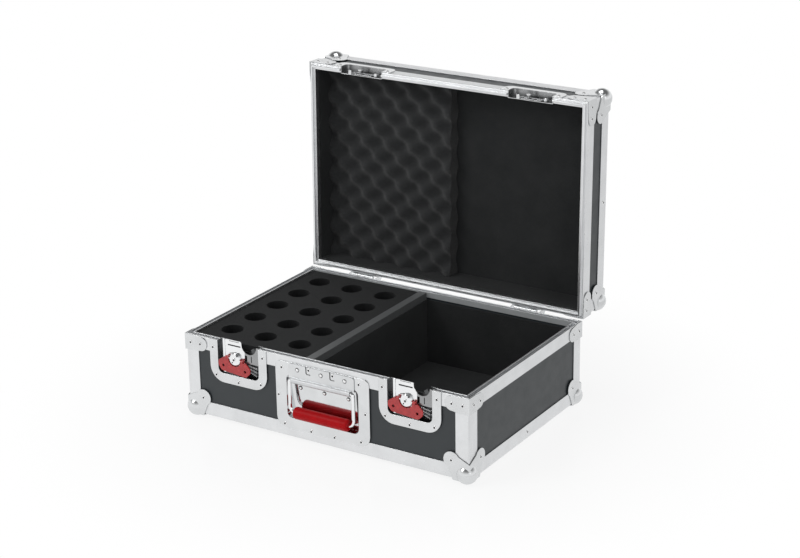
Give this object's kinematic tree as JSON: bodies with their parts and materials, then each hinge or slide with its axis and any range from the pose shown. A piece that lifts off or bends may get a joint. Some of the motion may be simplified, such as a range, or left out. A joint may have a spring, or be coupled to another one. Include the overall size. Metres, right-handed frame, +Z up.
{
  "type": "microphone case",
  "caption": "Hinged road case in aluminium extrusions, with a foam block of microphone holes beside an open cable compartment, twist latches and a sprung handle.",
  "frame": {"origin": "middle of the overall box in plan, on the floor that the ball corners stand on", "axes": "+X to the right along the front, +Y towards the back where the lid is hinged, +Z up"},
  "size_m": [0.533, 0.4588, 0.5049],
  "materials": {
    "laminate": "satin dark laminate over plywood",
    "aluminium": "satin extrusion",
    "chrome": "polished",
    "steel": "bright plated",
    "red_plastic": "red, semi-gloss",
    "red_rubber": "red, smooth",
    "foam": "matt open-cell foam",
    "lining": "matt black felt",
    "edging": "dark grey, matt"
  },
  "bodies": {
    "base": {"base_back_panel": "laminate", "base_ball_back_left": "chrome", "base_ball_back_right": "chrome", "base_ball_front_left": "chrome", "base_ball_front_right": "chrome", "base_bottom_panel": "laminate", "base_brace_back_left": "steel", "base_brace_back_right": "steel", "base_brace_front_left": "steel", "base_brace_front_right": "steel", "base_edge_frame": "aluminium", "base_front_panel": "laminate", "base_left_panel": "laminate", "base_right_panel": "laminate", "base_rim": "aluminium", "base_rim_front": "aluminium", "compartment_lining": "lining", "divider": "lining", "divider_edging": "edging", "foam_insert": "foam", "handle_dish": "aluminium", "handle_plate": "steel", "handle_spring": "steel", "hinge_base_leaf_left": "steel", "hinge_base_leaf_right": "steel", "hinge_pin_left": "steel", "hinge_pin_right": "steel", "latch_cover_left": "chrome", "latch_cover_right": "chrome", "latch_dish_left": "aluminium", "latch_dish_right": "aluminium"},
    "lid": {"hinge_lid_leaf_left": "steel", "hinge_lid_leaf_right": "steel", "keeper_left": "aluminium", "keeper_right": "aluminium", "lid_back_panel": "laminate", "lid_ball_back_left": "chrome", "lid_ball_back_right": "chrome", "lid_ball_front_left": "chrome", "lid_ball_front_right": "chrome", "lid_brace_back_left": "steel", "lid_brace_back_right": "steel", "lid_brace_front_left": "steel", "lid_brace_front_right": "steel", "lid_edge_frame": "aluminium", "lid_foam": "foam", "lid_front_panel": "laminate", "lid_left_panel": "laminate", "lid_lining": "lining", "lid_right_panel": "laminate", "lid_rim": "aluminium", "lid_rim_front": "aluminium", "lid_top_panel": "laminate"},
    "handle": {"handle_bail": "chrome", "handle_grip": "red_rubber"},
    "cam_left": {"latch_cam_left": "chrome"},
    "wing_left": {"latch_wing_left": "red_plastic"},
    "cam_right": {"latch_cam_right": "chrome"},
    "wing_right": {"latch_wing_right": "red_plastic"}
  },
  "joints": [
    {"name": "lid_hinge", "type": "hinge", "parent": "base", "child": "lid", "pos_m": [0, 0.14117, 0.1414], "axis": [1, 0, 0], "range_deg": [0, 91.2]},
    {"name": "handle_hinge", "type": "hinge", "parent": "base", "child": "handle", "pos_m": [0, -0.21973, 0.1055], "axis": [-1, 0, 0], "range_deg": [0, 90], "stiffness_Nm_per_rad": 0.08, "springref_deg": -17.19},
    {"name": "cam_turn_left", "type": "hinge", "parent": "base", "child": "cam_left", "pos_m": [-0.1625, -0.21623, 0.1165], "axis": [0, -1, 0], "range_deg": [0, 93]},
    {"name": "wing_fold_left", "type": "hinge", "parent": "cam_left", "child": "wing_left", "pos_m": [-0.1625, -0.21923, 0.1165], "axis": [-0.9962, 0, 0.0872], "range_deg": [0, 90]},
    {"name": "cam_turn_right", "type": "hinge", "parent": "base", "child": "cam_right", "pos_m": [0.1525, -0.21623, 0.1165], "axis": [0, -1, 0], "range_deg": [0, 93]},
    {"name": "wing_fold_right", "type": "hinge", "parent": "cam_right", "child": "wing_right", "pos_m": [0.1525, -0.21923, 0.1165], "axis": [-0.9962, 0, 0.0872], "range_deg": [0, 90]}
  ]
}
